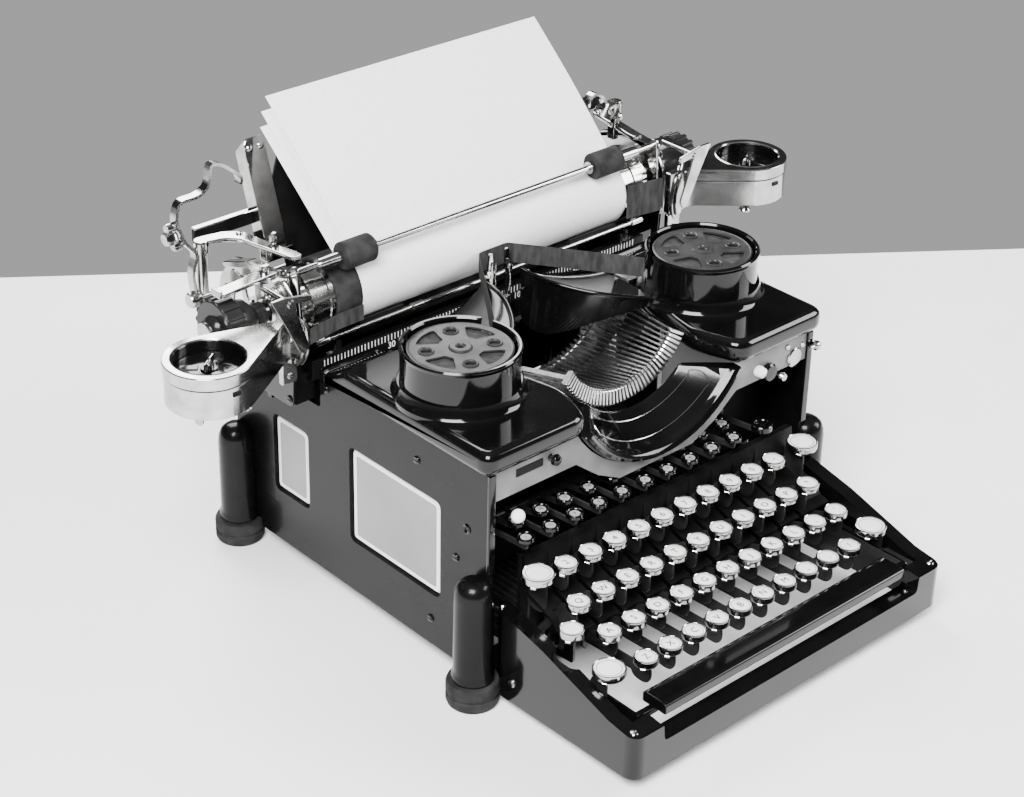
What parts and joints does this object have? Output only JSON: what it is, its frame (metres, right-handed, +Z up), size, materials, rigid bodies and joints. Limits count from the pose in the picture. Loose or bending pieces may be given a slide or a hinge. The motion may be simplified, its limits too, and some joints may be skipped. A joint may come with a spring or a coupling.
{
  "type": "typewriter",
  "caption": "Standard office typewriter with glass side windows, round front shield, type basket, sliding carriage with paper, and a copy-ribbon can at each carriage end.",
  "frame": {"origin": "middle of the whole bounding box, on the surface the rubber feet stand on", "axes": "+X to the typist's right, along the carriage; +Y to the back; +Z up"},
  "size_m": [0.485, 0.3596, 0.2862],
  "materials": {
    "enamel": "gloss black baked enamel",
    "dull_black": "satin black",
    "nickel": "bright nickel plate",
    "steel": "bare satin steel",
    "key_face": "white key tops in nickel rings",
    "black_plastic": "moulded black",
    "rubber": "matt black rubber",
    "glass": "clear bevelled plate glass",
    "paper": "plain white bond paper",
    "ribbon_ink": "inked cotton ribbon"
  },
  "bodies": {
    "machine": {"side_panel_left": "enamel", "side_panel_right": "enamel", "window_glass_left": "glass", "window_glass_right": "glass", "foot_front_left": "rubber", "foot_back_left": "rubber", "foot_front_right": "rubber", "foot_back_right": "rubber", "base_frame": "dull_black", "rear_panel": "enamel", "front_plate": "enamel", "front_shield": "enamel", "deck_left": "enamel", "deck_right": "enamel", "ribbon_cup_left": "enamel", "ribbon_cup_right": "enamel", "keyboard_frame": "enamel", "lever_comb": "dull_black", "carriage_rail": "steel", "bell": "nickel", "ribbon": "ribbon_ink"},
    "basket": {"type_segment": "steel", "type_bars": "nickel"},
    "type_bar_h": {"type_bar_h": "nickel"},
    "carriage": {"carriage_frame": "enamel", "end_plate_left": "nickel", "end_plate_right": "nickel", "margin_scale": "nickel", "paper_table": "dull_black", "paper": "paper", "copy_can_left": "nickel", "copy_can_right": "nickel"},
    "platen": {"platen": "rubber", "platen_knob_left": "black_plastic", "platen_knob_right": "black_plastic"},
    "bail": {"paper_bail": "nickel"},
    "feed_roller": {"feed_roller": "rubber"},
    "line_space_lever": {"line_space_lever": "nickel"},
    "release_levers": {"release_levers": "nickel"},
    "margin_stop_left": {"margin_stop_left": "nickel"},
    "margin_stop_right": {"margin_stop_right": "nickel"},
    "can_spool_left": {"can_spool_left": "black_plastic"},
    "can_spool_right": {"can_spool_right": "black_plastic"},
    "ribbon_spool_left": {"ribbon_spool_left": "nickel"},
    "ribbon_spool_right": {"ribbon_spool_right": "nickel"},
    "ribbon_guide": {"ribbon_guide": "nickel"},
    "key_row_1": {"key_row_1": "key_face"},
    "key_row_2": {"key_row_2": "key_face"},
    "key_row_3": {"key_row_3": "key_face"},
    "key_row_4": {"key_row_4": "key_face"},
    "key_h": {"key_h": "key_face"},
    "backspace_key": {"backspace_key": "key_face"},
    "margin_release_key": {"margin_release_key": "key_face"},
    "space_bar": {"space_bar": "black_plastic"},
    "shift_keys": {"shift_keys": "nickel"},
    "shift_lock": {"shift_lock": "key_face"},
    "tabulator_keys": {"tabulator_keys": "black_plastic"},
    "ribbon_switch": {"ribbon_switch": "key_face"},
    "spring_drum": {"spring_drum": "steel"},
    "escapement_wheel": {"escapement_wheel": "steel"}
  },
  "joints": [
    {"name": "carriage_travel", "type": "slide", "parent": "machine", "child": "carriage", "axis": [1, 0, 0], "range_m": [-0.11, 0.11]},
    {"name": "platen_turn", "type": "hinge", "parent": "carriage", "child": "platen", "pos_m": [0.0045, 0.1072, 0.188], "axis": [1, 0, 0], "continuous": true},
    {"name": "feed_roller_turn", "type": "hinge", "parent": "carriage", "child": "feed_roller", "pos_m": [0.0045, 0.1072, 0.1575], "axis": [1, 0, 0], "continuous": true},
    {"name": "bail_swing", "type": "hinge", "parent": "carriage", "child": "bail", "pos_m": [0.0045, 0.0872, 0.184], "axis": [1, 0, 0], "range_deg": [0, 25]},
    {"name": "line_space", "type": "hinge", "parent": "carriage", "child": "line_space_lever", "pos_m": [-0.1505, 0.1057, 0.216], "axis": [0, 0, 1], "range_deg": [0, 30], "stiffness_Nm_per_rad": 0.05, "springref_deg": -5.73},
    {"name": "release_tilt", "type": "hinge", "parent": "carriage", "child": "release_levers", "pos_m": [0.0045, 0.1492, 0.186], "axis": [1, 0, 0], "range_deg": [0, 10], "stiffness_Nm_per_rad": 0.4, "springref_deg": -11.46},
    {"name": "margin_stop_left_slide", "type": "slide", "parent": "carriage", "child": "margin_stop_left", "axis": [1, 0, 0], "range_m": [0, 0.07]},
    {"name": "margin_stop_right_slide", "type": "slide", "parent": "carriage", "child": "margin_stop_right", "axis": [1, 0, 0], "range_m": [-0.07, 0]},
    {"name": "can_spool_left_turn", "type": "hinge", "parent": "carriage", "child": "can_spool_left", "pos_m": [-0.2165, 0.0682, 0.18], "axis": [0, 0, 1], "continuous": true},
    {"name": "can_spool_right_turn", "type": "hinge", "parent": "carriage", "child": "can_spool_right", "pos_m": [0.2165, 0.0682, 0.18], "axis": [0, 0, 1], "continuous": true},
    {"name": "ribbon_spool_left_turn", "type": "hinge", "parent": "machine", "child": "ribbon_spool_left", "pos_m": [-0.0935, 0.0002, 0.18], "axis": [0, 0, 1], "continuous": true},
    {"name": "ribbon_spool_right_turn", "type": "hinge", "parent": "machine", "child": "ribbon_spool_right", "pos_m": [0.1025, 0.0002, 0.18], "axis": [0, 0, 1], "continuous": true},
    {"name": "guide_lift", "type": "slide", "parent": "machine", "child": "ribbon_guide", "axis": [0, 0, 1], "range_m": [0, 0.006]},
    {"name": "key_row_1_press", "type": "hinge", "parent": "machine", "child": "key_row_1", "pos_m": [0.0045, 0.1272, 0.034], "axis": [1, 0, 0], "range_deg": [0, 3.21], "stiffness_Nm_per_rad": 4, "springref_deg": -8.59},
    {"name": "key_row_2_press", "type": "hinge", "parent": "machine", "child": "key_row_2", "pos_m": [0.0045, 0.1272, 0.034], "axis": [1, 0, 0], "range_deg": [0, 2.96], "stiffness_Nm_per_rad": 4, "springref_deg": -8.59},
    {"name": "key_row_3_press", "type": "hinge", "parent": "machine", "child": "key_row_3", "pos_m": [0.0045, 0.1272, 0.034], "axis": [1, 0, 0], "range_deg": [0, 2.75], "stiffness_Nm_per_rad": 4, "springref_deg": -8.59},
    {"name": "key_row_4_press", "type": "hinge", "parent": "machine", "child": "key_row_4", "pos_m": [0.0045, 0.1272, 0.034], "axis": [1, 0, 0], "range_deg": [0, 2.57], "stiffness_Nm_per_rad": 4, "springref_deg": -8.59},
    {"name": "type_bar_swing", "type": "hinge", "parent": "basket", "child": "type_bar_h", "pos_m": [0.0045, 0.04258, 0.11734], "axis": [-1, 0, 0], "range_deg": [0, 101.6], "stiffness_Nm_per_rad": 0.002, "springref_deg": -17.19},
    {"name": "key_h_press", "type": "hinge", "parent": "machine", "child": "key_h", "pos_m": [0.0045, 0.1272, 0.034], "axis": [1, 0, 0], "range_deg": [0, 2.75], "stiffness_Nm_per_rad": 0.4, "springref_deg": -8.59},
    {"name": "basket_shift", "type": "slide", "parent": "machine", "child": "basket", "axis": [0, 0, -1], "range_m": [0, 0.006], "stiffness_N_per_m": 600, "springref_m": -0.006},
    {"name": "shift_press", "type": "hinge", "parent": "machine", "child": "shift_keys", "pos_m": [0.0045, 0.1422, 0.034], "axis": [1, 0, 0], "range_deg": [0, 2.04], "stiffness_Nm_per_rad": 2.5, "springref_deg": -8.59},
    {"name": "shift_lock_press", "type": "hinge", "parent": "shift_keys", "child": "shift_lock", "pos_m": [-0.11185, -0.0888, 0.0445], "axis": [1, 0, 0], "range_deg": [0, 8], "stiffness_Nm_per_rad": 0.02, "springref_deg": -11.46},
    {"name": "space_bar_press", "type": "hinge", "parent": "machine", "child": "space_bar", "pos_m": [0.0045, -0.0528, 0.034], "axis": [1, 0, 0], "range_deg": [0, 4.1], "stiffness_Nm_per_rad": 0.8, "springref_deg": -11.46},
    {"name": "backspace_press", "type": "hinge", "parent": "machine", "child": "backspace_key", "pos_m": [0.1089, 0.1272, 0.034], "axis": [1, 0, 0], "range_deg": [0, 3.21], "stiffness_Nm_per_rad": 0.5, "springref_deg": -8.59},
    {"name": "margin_release_press", "type": "hinge", "parent": "machine", "child": "margin_release_key", "pos_m": [-0.1049, 0.1272, 0.034], "axis": [1, 0, 0], "range_deg": [0, 3.21], "stiffness_Nm_per_rad": 0.5, "springref_deg": -8.59},
    {"name": "tabulator_press", "type": "hinge", "parent": "machine", "child": "tabulator_keys", "pos_m": [0.0045, -0.0328, 0.097], "axis": [1, 0, 0], "range_deg": [0, 6.8], "stiffness_Nm_per_rad": 0.15, "springref_deg": -11.46},
    {"name": "ribbon_switch_tilt", "type": "hinge", "parent": "machine", "child": "ribbon_switch", "pos_m": [-0.1125, -0.0328, 0.117], "axis": [1, 0, 0], "range_deg": [-8, 8]},
    {"name": "spring_drum_turn", "type": "hinge", "parent": "machine", "child": "spring_drum", "pos_m": [-0.0805, 0.1522, 0.082], "axis": [0, 1, 0], "range_deg": [-243, 243]},
    {"name": "escapement_turn", "type": "hinge", "parent": "machine", "child": "escapement_wheel", "pos_m": [0.0045, 0.1522, 0.09], "axis": [0, 1, 0], "range_deg": [-316, 316]}
  ],
  "couplings": [
    {"joint": "feed_roller_turn", "follows": "platen_turn", "ratio": -3.2571},
    {"joint": "ribbon_spool_right_turn", "follows": "ribbon_spool_left_turn", "ratio": 1},
    {"joint": "can_spool_right_turn", "follows": "can_spool_left_turn", "ratio": 1},
    {"joint": "key_h_press", "follows": "type_bar_swing", "ratio": 0.027064},
    {"joint": "guide_lift", "follows": "type_bar_swing", "m_per_rad": 0.0033833},
    {"joint": "basket_shift", "follows": "shift_press", "m_per_rad": 0.1685},
    {"joint": "spring_drum_turn", "follows": "carriage_travel", "rad_per_m": 38.462},
    {"joint": "escapement_turn", "follows": "carriage_travel", "rad_per_m": 50}
  ]
}
